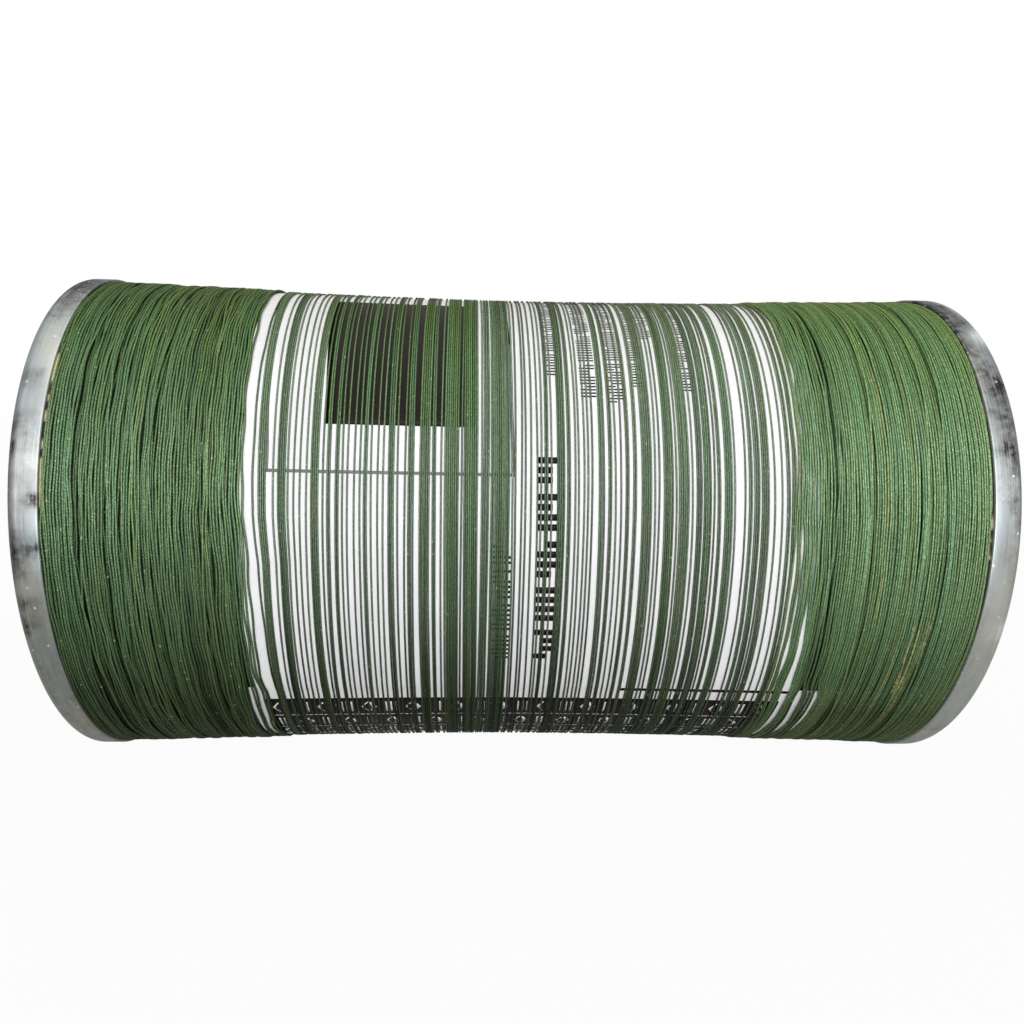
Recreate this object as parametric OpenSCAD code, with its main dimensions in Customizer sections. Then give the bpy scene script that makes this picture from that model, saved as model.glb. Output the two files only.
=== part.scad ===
// Fishing line spool: a board barrel between two pressed aluminium flanges, held together by a
// moulded hub at each end and wound full of green twisted line. A paper label is wrapped round
// the middle of the line, with the last turns lying loosely spaced over it.
// The spool's axis is X and the origin is at the middle of the spool. Sizes are in millimetres.

/* [Spool] */
// Length over both rims
overall_length = 120; // [100:1:160]
// Diameter over the rims
flange_diameter = 67.2; // [64:0.2:90]

/* [Flanges] */
// Width of a rim along the spool
rim_width = 3.8; // [3.4:0.1:5]
// Thickness of the aluminium sheet
sheet_thickness = 1; // [0.8:0.05:1.2]
// Outer diameter of the curled edge of the rim
curl_diameter = 2.6; // [2.4:0.1:3]
// Radius of the corner between the rim and the flange's inner face
corner_radius = 0.4; // [0.2:0.05:0.7]
// Width of the stiffening bead pressed into each flange
bead_width = 3.2; // [2.6:0.1:3.6]
// Distance of the bead's middle from the rim
bead_inset = 4.8; // [4.4:0.1:5.2]
// Diameter of the hole that the inner end of the line is tied through
start_hole_diameter = 1.8; // [1:0.1:2]
// Distance of that hole from the barrel
start_hole_inset = 3.2; // [3.1:0.05:3.3]

/* [Barrel] */
// Outer diameter of the board tube
barrel_diameter = 44; // [42:0.5:44.5]
// Wall of the board tube
barrel_wall = 2.5; // [2:0.1:3]

/* [Hubs] */
// Diameter of the bore for the spindle
spindle_bore = 16; // [12:0.5:18]
// Wall round the spindle bore
core_wall = 2.2; // [1.6:0.1:2.6]
// Wall of the sleeve that fits in the barrel
sleeve_wall = 2; // [1.4:0.1:2.4]
// Depth of the hub behind the flange
hub_depth = 14; // [8:0.5:24]
// Thickness of the lip that clamps the flange
lip_thickness = 1.4; // [1:0.1:2]
// Reach of the lip past the sleeve
lip_reach = 4; // [3:0.1:4.2]
// Radius of the lip's rounded edge
lip_edge_radius = 0.6; // [0.3:0.1:0.9]
// Depth of the hub's inner plate below the lip
plate_depth = 3; // [2.4:0.1:6]
// Thickness of the hub's inner plate
plate_thickness = 1.6; // [1.2:0.1:2.4]
// Number of ribs between the core and the sleeve
rib_count = 6; // [3:1:12]
// Thickness of a rib
rib_thickness = 1.4; // [1:0.1:1.8]
// Distance of the ribs' edges below the lip
rib_drop = 0.8; // [0.4:0.1:1.6]

/* [Liners] */
// Thickness of the board liner on the inside of each flange
liner_thickness = 0.3; // [0.2:0.05:0.6]
// Distance of a liner's edge below the rim
liner_drop = 0.5; // [0.3:0.05:0.8]

/* [Line] */
// Distance of the line below the rim, beside the flanges
end_drop = 0.15; // [0.1:0.05:0.4]
// Distance of the line below the rim, at the middle of the spool
middle_drop = 1.3; // [0.6:0.05:2.5]
// How steeply the line rises to the flanges
waist_power = 1.6; // [1.2:0.1:3]

/* [Label] */
// Width of the label along the spool
label_width = 75.4; // [50:0.2:90]
// Place of the label's middle along the spool
label_centre = 0.4; // [-4:0.1:4]
// Width of each margin of the label that the line covers
label_cover = 4; // [2:0.2:8]
// Thickness of the label's paper
label_thickness = 0.12; // [0.08:0.01:0.2]
// Length of the label's glued overlap, measured round the spool
label_overlap = 12; // [6:0.5:25]
// Angle of the label's outer end, turned about the axis from the top
seam_angle = 114; // [0:1:359]

/* [Outer turns] */
// Number of bands of line over the label
loop_count = 24; // [12:1:24]
// Width of a band
band_width = 1.7; // [1:0.05:2.1]
// Height of a band, which is one line's thickness
band_height = 0.34; // [0.24:0.01:0.45]
// Radius of the bend where the first and last bands leave the covered line
band_bend = 1.5; // [1.2:0.1:2]

/* [Hidden] */

// clearance between parts that slide together, and between things that lie on each other
fit_gap = 0.05;
seat_gap = 0.03;
// length by which a cutter runs past what it cuts
cut_past = 1;
// length by which joined shapes run into each other
join_past = 0.4;
arc_steps = 64;

flange_radius = flange_diameter / 2;
half_length = overall_length / 2;
web_x = half_length - rim_width;
web_face_x = web_x + sheet_thickness;
curl_radius = curl_diameter / 2;
bead_radius = flange_radius - bead_inset;
bead_outer = bead_width / 2;
bead_inner = bead_outer - sheet_thickness;

barrel_radius = barrel_diameter / 2;
barrel_bore = barrel_radius - barrel_wall;
start_hole_place = barrel_radius + start_hole_inset;

sleeve_radius = barrel_bore - fit_gap;
sleeve_bore = sleeve_radius - sleeve_wall;
core_bore = spindle_bore / 2;
core_radius = core_bore + core_wall;
lip_radius = sleeve_radius + lip_reach;
lip_face_x = web_face_x + lip_thickness;
hub_end_x = web_face_x - hub_depth;
plate_x = lip_face_x - plate_depth - plate_thickness;
rib_face_x = lip_face_x - rib_drop;

winding_x = web_x - liner_thickness;
label_left = label_centre - label_width / 2;
label_right = label_centre + label_width / 2;
window_left = label_left + label_cover;
window_right = label_right - label_cover;
window_steps = 14;
shoulder_steps = 8;

loop_rings = 24;
bend_rings = 4;
band_lead = band_height;
helix_left = window_left + seat_gap + band_lead + band_bend;
helix_right = window_right - seat_gap - band_lead - band_bend;
helix_pitch = (helix_right - helix_left) / loop_count;
// share of a band's width that is flat on top and below
band_flat = 0.72;

// radius of the line's surface at a place along the spool
function waist(x) = flange_radius - middle_drop
    + (middle_drop - end_drop) * pow(abs(x) / half_length, waist_power);

// radius of the label's outer face: under the outer turns, which sag between their rings
function label_top(x) = (waist(x) - band_height) * cos(180 / loop_rings) - seat_gap;
function label_face(x) = label_top(x) - label_thickness;
function label_bed(x) = label_face(x) - label_thickness - seat_gap;

// evenly spaced numbers from a to b
function spaced(a, b, steps) = [for (i = [0:steps]) a + (b - a) * i / steps];

// turns a shape that was drawn about Z so that it lies about the spool's axis
module about_axis() rotate([0, 90, 0]) children();

// the copy of a right-hand part for the left end
module at_left() mirror([1, 0, 0]) children();

// section of a flange: across is the radius, up is the place along the spool
module flange_section() {
    difference() {
        union() {
            translate([barrel_bore, web_x])
                square([flange_radius - corner_radius - barrel_bore, sheet_thickness]);
            intersection() {
                translate([bead_radius, web_x]) circle(bead_outer, $fn = arc_steps);
                translate([bead_radius - bead_outer, web_x]) square([bead_width, bead_outer]);
            }
        }
        translate([bead_radius, web_x]) circle(bead_inner, $fn = arc_steps);
    }
    translate([flange_radius - corner_radius, web_x + corner_radius])
        circle(corner_radius, $fn = arc_steps);
    translate([flange_radius - sheet_thickness, web_x + corner_radius])
        square([sheet_thickness, rim_width - corner_radius - curl_radius]);
    difference() {
        translate([flange_radius - curl_radius, half_length - curl_radius])
            circle(curl_radius, $fn = arc_steps);
        translate([flange_radius - curl_radius, half_length - curl_radius])
            circle(curl_radius - sheet_thickness, $fn = arc_steps);
    }
}

// hole for the inner end of the line, through a flange and its liner
module start_hole() {
    translate([winding_x - cut_past, 0, -start_hole_place])
        about_axis()
            cylinder(h = liner_thickness + sheet_thickness + 2 * cut_past,
                d = start_hole_diameter, $fn = arc_steps);
}

module flange() {
    difference() {
        about_axis() rotate_extrude($fn = arc_steps) flange_section();
        start_hole();
    }
}

module liner() {
    difference() {
        translate([winding_x, 0, 0]) about_axis()
            cylinder(h = liner_thickness, r = flange_radius - liner_drop, $fn = arc_steps);
        translate([winding_x - cut_past, 0, 0]) about_axis()
            cylinder(h = liner_thickness + 2 * cut_past, r = barrel_radius + fit_gap,
                $fn = arc_steps);
        start_hole();
    }
}

// section of a hub without its ribs
module hub_section() {
    // sleeve in the barrel, and the lip over the flange
    translate([sleeve_bore, hub_end_x]) square([sleeve_wall, lip_face_x - hub_end_x]);
    translate([sleeve_bore, web_face_x])
        square([lip_radius - lip_edge_radius - sleeve_bore, lip_thickness]);
    translate([sleeve_bore, web_face_x])
        square([lip_radius - sleeve_bore, lip_thickness - lip_edge_radius]);
    translate([lip_radius - lip_edge_radius, lip_face_x - lip_edge_radius])
        circle(lip_edge_radius, $fn = arc_steps);
    // core round the spindle, and the plate that joins it to the sleeve
    translate([core_bore, hub_end_x]) square([core_wall, lip_face_x - hub_end_x]);
    translate([core_radius - join_past, plate_x])
        square([sleeve_bore - core_radius + 2 * join_past, plate_thickness]);
}

module hub() {
    about_axis() rotate_extrude($fn = arc_steps) hub_section();
    for (i = [0:rib_count - 1])
        rotate([360 * i / rib_count, 0, 0])
            translate([plate_x + plate_thickness - join_past, -rib_thickness / 2,
                core_radius - join_past])
                cube([rib_face_x - plate_x - plate_thickness + join_past, rib_thickness,
                    sleeve_bore - core_radius + 2 * join_past]);
}

// ring of even thickness that follows the waist under the outer turns, between two heights
// above the label's inner face
module paper_section(low, high) {
    places = spaced(label_left, label_right, window_steps);
    polygon(concat(
        [for (x = places) [label_face(x) - label_thickness + high, x]],
        [for (i = [window_steps:-1:0])
            [label_face(places[i]) - label_thickness + low, places[i]]]
    ));
}

module barrel_tube() {
    color("#a9855c")
    difference() {
        translate([-web_x, 0, 0]) about_axis()
            cylinder(h = 2 * web_x, r = barrel_radius, $fn = arc_steps);
        translate([-web_x - cut_past, 0, 0]) about_axis()
            cylinder(h = 2 * web_x + 2 * cut_past, r = barrel_bore, $fn = arc_steps);
    }
}

module left_flange() {
    color("#b9bfc2") at_left() flange();
}

module right_flange() {
    color("#b9bfc2") flange();
}

module left_liner() {
    color("#b8925e") at_left() liner();
}

module right_liner() {
    color("#b8925e") liner();
}

module left_hub() {
    color("#e4e1d6") at_left() hub();
}

module right_hub() {
    color("#e4e1d6") hub();
}

// the wound line, with a bed for the label whose margins it covers
module line_package() {
    inner = barrel_radius + fit_gap;
    left_rim = spaced(-winding_x, window_left, shoulder_steps);
    right_rim = spaced(window_right, winding_x, shoulder_steps);
    bed = spaced(label_left - seat_gap, label_right + seat_gap, window_steps);
    color("#5d7f55")
    about_axis() rotate_extrude($fn = arc_steps) polygon(concat(
        [[inner, -winding_x]],
        [for (x = left_rim) [waist(x), x]],
        [[label_top(window_left) + seat_gap, window_left]],
        [[label_top(label_left) + seat_gap, label_left - seat_gap]],
        [for (x = bed) [label_bed(x), x]],
        [[label_top(label_right) + seat_gap, label_right + seat_gap]],
        [[label_top(window_right) + seat_gap, window_right]],
        [for (x = right_rim) [waist(x), x]],
        [[inner, winding_x]]
    ));
}

// one layer of paper all round, and a second layer where its end is glued over its start
module label() {
    overlap_angle = label_overlap / label_face(label_centre) * 180 / PI;
    color("#eceaf1") {
        about_axis() rotate_extrude($fn = arc_steps) paper_section(0, label_thickness);
        rotate([seam_angle - overlap_angle - 180, 0, 0]) about_axis()
            rotate_extrude(angle = overlap_angle, $fn = arc_steps)
                paper_section(label_thickness / 2, 2 * label_thickness);
    }
}

// route of the outer turns as [place along the spool, angle]: straight out of the covered line,
// round a bend, along the helix, and back in the same way at the other end
function bend_angle(x, length) = length / waist(x) * 180 / PI;
turn_route = concat(
    [[window_left + seat_gap, 0], [window_left + seat_gap + band_lead, 0]],
    [for (k = [1:bend_rings]) let (turn = 90 * k / bend_rings)
        [helix_left - band_bend * (1 - sin(turn)),
            bend_angle(helix_left, band_bend * (1 - cos(turn)))]],
    [for (i = [1:loop_count * loop_rings])
        [helix_left + helix_pitch * i / loop_rings,
            bend_angle(helix_left, band_bend) + 360 * i / loop_rings]],
    [for (k = [1:bend_rings]) let (turn = 90 * k / bend_rings)
        [helix_right + band_bend * (1 - cos(turn)),
            bend_angle(helix_left, band_bend) + 360 * loop_count
                + bend_angle(helix_right, band_bend * sin(turn))]],
    [[window_right - seat_gap, bend_angle(helix_left, band_bend) + 360 * loop_count
        + bend_angle(helix_right, band_bend)]]
);

function outward(angle) = [0, -sin(angle), cos(angle)];
function on_route(p) = [p[0], 0, 0] + (waist(p[0]) - band_height / 2) * outward(p[1]);
function unit(v) = v / norm(v);

// a band's section, as shares of its width and height
band_shape = [[0.5, 0], [band_flat / 2, 0.5], [-band_flat / 2, 0.5], [-0.5, 0],
    [-band_flat / 2, -0.5], [band_flat / 2, -0.5]];
band_sides = len(band_shape);
ring_total = len(turn_route);

// the points of one ring of the outer turns
function ring(i) = let (
        here = on_route(turn_route[i]),
        before = on_route(turn_route[max(i - 1, 0)]),
        after = on_route(turn_route[min(i + 1, ring_total - 1)]),
        up = outward(turn_route[i][1]),
        across = unit(cross(after - before, up))
    ) [for (s = band_shape) here + across * s[0] * band_width + up * s[1] * band_height];

rings = [for (i = [0:ring_total - 1]) ring(i)];

// the least distance between one loop's points and the next loop's, over rings that lie abreast
least_gap = min([for (i = [0:ring_total - loop_rings - 2]) for (j = [loop_rings - 1:loop_rings + 1])
    for (a = rings[i]) for (b = rings[i + j]) norm(a - b)]);

module outer_turns() {
    echo(least_gap_between_outer_turns = least_gap);
    color("#6c9063")
    polyhedron(
        points = [for (r = rings) for (p = r) p],
        faces = concat(
            [for (k = [1:band_sides - 2]) [0, k, k + 1]],
            [for (i = [0:ring_total - 2]) for (k = [0:band_sides - 1])
                let (a = i * band_sides + k, b = i * band_sides + (k + 1) % band_sides)
                    [a, a + band_sides, b]],
            [for (i = [0:ring_total - 2]) for (k = [0:band_sides - 1])
                let (a = i * band_sides + k, b = i * band_sides + (k + 1) % band_sides)
                    [b, a + band_sides, b + band_sides]],
            [for (k = [1:band_sides - 2]) let (last = (ring_total - 1) * band_sides)
                [last, last + k + 1, last + k]]
        ),
        convexity = 10
    );
}

barrel_tube();
left_flange();
right_flange();
left_liner();
right_liner();
left_hub();
right_hub();
line_package();
label();
outer_turns();
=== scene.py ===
import functools
import math

import bpy
import numpy as np
from mathutils import Matrix, Vector


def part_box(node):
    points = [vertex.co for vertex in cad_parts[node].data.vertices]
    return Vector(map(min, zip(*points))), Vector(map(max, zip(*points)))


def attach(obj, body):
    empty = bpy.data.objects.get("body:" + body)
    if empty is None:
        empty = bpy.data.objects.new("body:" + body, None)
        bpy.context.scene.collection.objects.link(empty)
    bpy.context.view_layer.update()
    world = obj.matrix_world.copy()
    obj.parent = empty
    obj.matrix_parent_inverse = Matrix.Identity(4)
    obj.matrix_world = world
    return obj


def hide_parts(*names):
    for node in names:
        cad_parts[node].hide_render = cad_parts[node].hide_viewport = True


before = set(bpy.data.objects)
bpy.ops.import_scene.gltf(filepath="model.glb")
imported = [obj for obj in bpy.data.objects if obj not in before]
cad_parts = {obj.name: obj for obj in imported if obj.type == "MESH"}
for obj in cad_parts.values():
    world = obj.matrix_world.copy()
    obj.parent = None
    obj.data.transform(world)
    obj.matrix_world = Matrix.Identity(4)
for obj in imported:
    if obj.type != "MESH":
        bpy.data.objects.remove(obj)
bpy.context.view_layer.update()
print("frame loaded")

mm = 0.001

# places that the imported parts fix, in metres
rimLow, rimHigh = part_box("right_flange")
linerLow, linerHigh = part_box("right_liner")
hubLow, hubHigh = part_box("right_hub")
rimRadius = rimHigh.z
halfLength = rimHigh.x
webX = rimLow.x
windingEnd = linerLow.x
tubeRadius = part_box("barrel_tube")[1].z
tubeBore = tubeRadius - 2.5 * mm

view = dict(
    elevation=22.0,  # degrees above the horizon
    yaw=-2.79,  # degrees
    roll=0.60,  # degrees
    offset=(0.013, -0.325, 4.241),  # spool's middle: right, down and ahead, in rim radii
    lens=32.705,
    sensor=36.0,
    shift=(0.0012, 0.078),
)

winding = dict(
    endDrop=0.15,  # mm below the rim, at the flanges
    middleDrop=1.30,  # mm below the rim, at the middle
    power=1.6,
    lineWidth=0.30,  # mm
    pressed=0.24,  # mm wide where it is stretched over the label
    layerStep=0.24,  # mm between the middles of two layers
    marginPlay=0.03,  # mm between the sheet's wide start and the strands under it
    corePlay=0.1,  # mm between the sheet and the core
    tubePlay=0.05,  # mm between the core and the barrel
    # painted shade: the core is coloured dark, as the shade under the strands
    corePaintedShade=0.2,
)

label = dict(
    windowLeft=-33.4,  # mm along the spool: what the line leaves uncovered
    windowRight=33.3,
    endLeft=-33.95,  # mm along the spool: the sheet's outer end
    endRight=35.3,
    startLeft=-34.95,  # mm along the spool: the start of the sheet is wider than its end
    startRight=39.7,
    narrows=(40, 20),  # degrees from the start to where it narrows, and in which it does
    paper=0.11,  # mm thick
    play=0.01,  # mm between the sheet and the line on it
    seam=114.5,  # degrees about the axis from the top
    overlap=21.0,  # degrees
    climb=6,  # degrees in which the outer end climbs onto the start
    seamGap=0.05,  # degrees
)
# degrees about the axis from the top to where the label faces; everywhere in this script, below is
# the degrees below that direction
facing = 90.0 - view["elevation"]


def linearColour(hexText):
    # sRGB hex to linear, by the sRGB curve
    parts = [int(hexText[i:i + 2], 16) / 255 for i in (1, 3, 5)]
    return tuple(c / 12.92 if c <= 0.04045 else ((c + 0.055) / 1.055) ** 2.4 for c in parts) + (1.0,)


def feed(tree, node, inputs):
    # links the sockets among the inputs and sets the numbers and hex colours
    for key, value in inputs.items():
        if isinstance(value, bpy.types.NodeSocket):
            tree.links.new(value, node.inputs[key])
        else:
            node.inputs[key].default_value = linearColour(value) if isinstance(value, str) else value


def addNode(tree, kind, inputs=None, output=None, **settings):
    # gives the named output, or else the first that the settings leave in use
    node = tree.nodes.new("ShaderNode" + kind)
    for key, value in settings.items():
        setattr(node, key, value)
    feed(tree, node, inputs or {})
    return node.outputs[output] if output else next(o for o in node.outputs if o.enabled)


def startMaterial(name, **values):
    # gives the material, what adds a node to it, what feeds its surface, and the place on the piece
    material = bpy.data.materials.new(name)
    material.use_nodes = True
    tree = material.node_tree
    add = functools.partial(addNode, tree)
    finish = functools.partial(feed, tree, tree.nodes["Principled BSDF"])
    finish({key.replace("_", " "): value for key, value in values.items()})
    return material, add, finish, add("TexCoord", output="Object")


def aboutAxis(x, angle, radius):
    # a point at x along the spool, turned from the top by angle, at radius from the axis
    x, angle, radius = np.broadcast_arrays(x, angle, radius)
    return np.stack([x, -radius * np.sin(angle), radius * np.cos(angle)], axis=-1)


def belowFacing(angle):
    # from -180 to 180
    return (np.degrees(angle) - facing + 180) % 360 - 180


def readTable(table, at):
    # the value at a place, on straight lines between a table's pairs of place and value
    return np.interp(at, *zip(*table))


def within(at, start, stop, fade):
    # 1 between start and stop, 0 outside, changing over fade on the inner side of each
    return np.clip((at - start) / fade, 0, 1) * np.clip((stop - at) / fade, 0, 1)


def waist(x):
    # radius of the line's surface: least at the middle, rising by a power of the distance
    share = np.abs(x) / halfLength
    rise = winding["middleDrop"] - winding["endDrop"]
    return rimRadius - (winding["middleDrop"] - rise * share ** winding["power"]) * mm


def gridFaces(rows, columns, closedRows, closedColumns):
    # each cell of a grid of points is one face; a closed direction joins its last line to its first
    cells = np.mgrid[:rows if closedRows else rows - 1, :columns if closedColumns else columns - 1]
    i, j = cells.reshape(2, -1)

    def corners(nextI, nextJ, wide):
        return np.stack([i * wide + j, nextI * wide + j, nextI * wide + nextJ, i * wide + nextJ], axis=1)

    faces = corners((i + 1) % rows, (j + 1) % columns, columns)
    return faces, corners(i + 1, j + 1, columns + closedColumns)


def tubeFaces(rings, sides):
    # faces of a tube, the two that close its ends, and its map's faces
    faces, uvFaces = gridFaces(rings, sides, False, True)
    ends = np.array([np.arange(sides)[::-1], (rings - 1) * sides + np.arange(sides)])
    return faces, ends, uvFaces


def gridMap(u, v):
    return np.stack(np.broadcast_arrays(u, v), axis=-1).reshape(-1, 2)


def lengthAlong(path):
    # mm from the first point of a path to each of them
    return np.concatenate([[0], np.cumsum(np.linalg.norm(np.diff(path, axis=0), axis=1))]) / mm


def meshPiece(name, points, faces, uvs=None, values=None):
    # points (n, 3); faces is a list of index arrays, one for each number of sides; uvs match faces;
    # values is {attribute: one number for each point}. Faces are turned so that the volume, the sum
    # of the products of each triangle's corners, is positive
    points = np.asarray(points, dtype=np.float64).reshape(-1, 3)
    volume = 0.0
    for group in faces:
        for k in range(1, group.shape[1] - 1):
            a, b, c = points[group[:, 0]], points[group[:, k]], points[group[:, k + 1]]
            volume += np.einsum("ij,ij->", a, np.cross(b, c))
    if volume < 0:
        faces = [group[:, ::-1] for group in faces]
        uvs = [group[:, ::-1] for group in uvs] if uvs is not None else None
    mesh = bpy.data.meshes.new(name)
    corners = np.concatenate([group.ravel() for group in faces]).astype(np.int32)
    sides = np.concatenate([np.full(len(group), group.shape[1]) for group in faces])
    starts = np.concatenate([[0], np.cumsum(sides)[:-1]]).astype(np.int32)
    mesh.vertices.add(len(points))
    mesh.vertices.foreach_set("co", points.astype(np.float32).ravel())
    mesh.loops.add(len(corners))
    mesh.loops.foreach_set("vertex_index", corners)
    mesh.polygons.add(len(starts))
    mesh.polygons.foreach_set("loop_start", starts)
    mesh.update(calc_edges=True)
    if uvs is not None:
        layer = mesh.uv_layers.new(name="map")
        layer.uv.foreach_set("vector", np.concatenate([g.reshape(-1) for g in uvs]).astype(np.float32))
    for key, numbers in (values or {}).items():
        attribute = mesh.attributes.new(key, "FLOAT", "POINT")
        attribute.data.foreach_set("value", np.asarray(numbers, dtype=np.float32).ravel())
    mesh.polygons.foreach_set("use_smooth", np.ones(len(starts), dtype=bool))
    mesh.validate()
    piece = bpy.data.objects.new(name, mesh)
    bpy.context.scene.collection.objects.link(piece)
    return piece


def dress(piece, material, replaced=(), sharp=None):
    if sharp is not None:
        piece.data.set_sharp_from_angle(angle=math.radians(sharp))
    piece.data.materials.append(material)
    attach(piece, "root")
    if replaced:
        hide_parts(*replaced)
    return piece


def lathe(name, profile, values=None, steps=256):
    # profile is a closed outline of (place along the spool, radius), turned once about the axis;
    # its map runs in millimetres round the rim and along the outline. values is
    # {attribute: function of place along the spool, angle and radius}
    place, radius = np.asarray(profile, dtype=float).T[:, :, None]
    angles = (np.arange(steps) * 2 * np.pi / steps)[None, :]
    points = aboutAxis(place, angles, radius)
    faces, uvFaces = gridFaces(len(profile), steps, True, True)
    along = lengthAlong(np.vstack([profile, profile[:1]]))
    around = np.arange(steps + 1) * 2 * np.pi / steps * radius.max() / mm
    uv = gridMap(around[None, :], along[:, None])
    numbers = {key: np.broadcast_to(make(place, angles, radius), points.shape[:2])
               for key, make in (values or {}).items()}
    return meshPiece(name, points, [faces], [uv[uvFaces]], numbers)


def arc(x, r, radius, start, stop, steps):
    # points on a circle of the section plane; angles in degrees from the spool's direction
    turn = np.radians(np.linspace(start, stop, steps + 1))
    return [(x + radius * math.cos(t), r + radius * math.sin(t)) for t in turn]


def rounded(corners, steps=5):
    # replaces each corner (x, r, radius) of a closed outline by an arc that touches both sides
    result = []
    for i, (x, r, radius) in enumerate(corners):
        if radius == 0:
            result.append((x, r))
            continue
        here = np.array([x, r])
        back = np.array(corners[i - 1][:2]) - here
        ahead = np.array(corners[(i + 1) % len(corners)][:2]) - here
        back, ahead = back / np.linalg.norm(back), ahead / np.linalg.norm(ahead)
        half = math.acos(max(-1, min(1, back @ ahead))) / 2
        middle = here + (back + ahead) / np.linalg.norm(back + ahead) * radius / math.sin(half)
        first = here + back * radius / math.tan(half) - middle
        last = here + ahead * radius / math.tan(half) - middle
        for t in np.linspace(0, 1, steps + 1):
            spoke = first * (1 - t) + last * t
            result.append(tuple(middle + spoke / np.linalg.norm(spoke) * radius))
    return result


def makeLine():
    # twisted synthetic line, dyed and waxed: a dark dye under a soft green shine, with the plies and
    # filaments as fine ticks along each strand; the hollows between the plies are painted darker as
    # shade, and the shade, warmth and pale attributes carry painted light and shade as well
    values = dict(plies=3, lay=1.1, crest="#253a1b", hollowShade="#0b1d06", warm="#3c3f20", cool="#22412e",
                  tan="#b89c62", glintFleck="#b9b690", shine="#c8f6ba", shineWarm="#d6ee9a",
                  shineCool="#b8f5ca")
    material, add, finish, place = startMaterial("twistedLine", Specular_IOR_Level=1.0, IOR=2.1)
    shade, warmth, pale, stain = (add("Attribute", output="Fac", attribute_name=name)
                                  for name in ("shade", "warmth", "pale", "stain"))
    uv = add("UVMap", uv_map="map")
    length, around, _ = add("SeparateXYZ", {0: uv}).node.outputs
    turned = add("Math", {0: length, 1: values["plies"] / values["lay"]}, operation="MULTIPLY")
    turned = add("Math", {0: around, 1: values["plies"], 2: turned}, operation="MULTIPLY_ADD")
    turned = add("Math", {0: turned, 1: 2 * math.pi}, operation="MULTIPLY")
    ply = add("MapRange", {0: add("Math", {0: turned}, operation="SINE"), 1: -1.0})
    # filaments: uneven ticks about 0.3 mm long
    fibre = add("TexNoise", {"Vector": add("Mapping", {0: uv, 3: (3.2, 3.0, 1.0)}), "Scale": 1.0})
    fibre = add("MapRange", {0: fibre, 1: 0.34, 2: 0.66})
    both = add("Math", {0: fibre, 1: 0.7}, operation="MULTIPLY")
    both = add("Math", {0: ply, 1: 0.3, 2: both}, operation="MULTIPLY_ADD")
    coolness = add("Math", {0: warmth, 1: -1.0}, operation="MULTIPLY")

    def strandColour(plain, warm, cool):
        # a strand's own colour lies between plain and warm, or between plain and cool
        mixed = add("Mix", {0: warmth, 6: plain, 7: warm}, data_type="RGBA")
        return add("Mix", {0: coolness, 6: mixed, 7: cool}, data_type="RGBA")

    # painted light: the white paper behind thin bands of strands washes their colour out; below zero
    # the colour is deeper, painted so by angle towards the top
    depth = add("MapRange", {0: pale, 1: -1.0, 3: 1.38, 4: 0.52})
    # painted shade: the darker hollow colour where the plies dip, mixed with the filaments' uneven ticks
    dyed = add("Mix", {0: both, 6: values["hollowShade"], 7: values["crest"]}, data_type="RGBA")
    dyed = strandColour(dyed, values["warm"], values["cool"])
    dyed = add("HueSaturation", {"Saturation": depth, "Value": shade, "Color": dyed})
    # the shine is coloured by the dyed filaments, weaker in the hollows between the plies as painted
    # shade, and it follows the painted light and shade in the shade attribute
    gloss = add("MapRange", {0: both, 1: 0.15, 2: 0.95, 3: 0.62, 4: 1.35})
    gloss = add("Math", {0: gloss, 1: shade}, operation="MULTIPLY")
    shine = strandColour(values["shine"], values["shineWarm"], values["shineCool"])
    shine = add("HueSaturation", {"Saturation": depth, "Value": gloss, "Color": shine})
    # dust and old glue, in grains, on a few strands, and pale flecks on all, which are painted glints
    grain = add("TexNoise", {"Vector": place, "Scale": 1 / (0.5 * mm), "Detail": 3.0})
    grain = add("MapRange", {0: grain, 1: 0.42, 2: 0.6, 4: 0.85})
    dust = add("Math", {0: stain, 1: grain}, operation="MULTIPLY")
    stained = add("Mix", {0: dust, 6: dyed, 7: values["tan"]}, data_type="RGBA")
    paintedGlint = add("TexVoronoi", {"Vector": place, "Scale": 1 / (1.5 * mm)})
    paintedGlint = add("MapRange", {0: paintedGlint, 1: 0.06, 2: 0.12, 3: 0.6, 4: 0.0})
    colour = add("Mix", {0: paintedGlint, 6: stained, 7: values["glintFleck"]}, data_type="RGBA")
    height = add("Math", {0: fibre, 1: 1.0, 2: ply}, operation="MULTIPLY_ADD")
    bump = add("Bump", {"Height": height, "Strength": 0.7, "Distance": 0.03 * mm})
    rough = add("MapRange", {0: fibre, 3: 0.6, 4: 0.4})
    finish({"Base Color": colour, "Specular Tint": shine, "Roughness": rough, "Normal": bump})
    return material


def makePaper():
    # coated label paper: white with a cold cast, nearly smooth, faint fibre cloudiness
    values = dict(white="#f8f7fb", grey="#efeef4")
    material, add, finish, place = startMaterial("coatedPaper", Roughness=0.5)
    cloud = add("TexNoise", {"Vector": place, "Scale": 1 / (6 * mm), "Detail": 4.0})
    cloud = add("MapRange", {0: cloud, 1: 0.35, 2: 0.75})
    colour = add("Mix", {0: cloud, 6: values["white"], 7: values["grey"]}, data_type="RGBA")
    fibre = add("TexNoise", {"Vector": place, "Scale": 1 / (0.4 * mm), "Detail": 3.0})
    bump = add("Bump", {"Height": fibre, "Strength": 0.15, "Distance": 0.02 * mm})
    finish({"Base Color": colour, "Normal": bump})
    return material


def makeInk(name, hexText):
    # printing ink on coated paper: even colour with slight mottle
    material, add, finish, place = startMaterial(name, Roughness=0.35, Specular_IOR_Level=0.14)
    mottle = add("TexNoise", {"Vector": place, "Scale": 1 / (0.8 * mm)})
    mottle = add("MapRange", {0: mottle, 1: 0.3, 2: 0.7, 3: 0.85, 4: 1.15})
    finish({"Base Color": add("HueSaturation", {"Value": mottle, "Color": hexText})})
    return material


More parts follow.
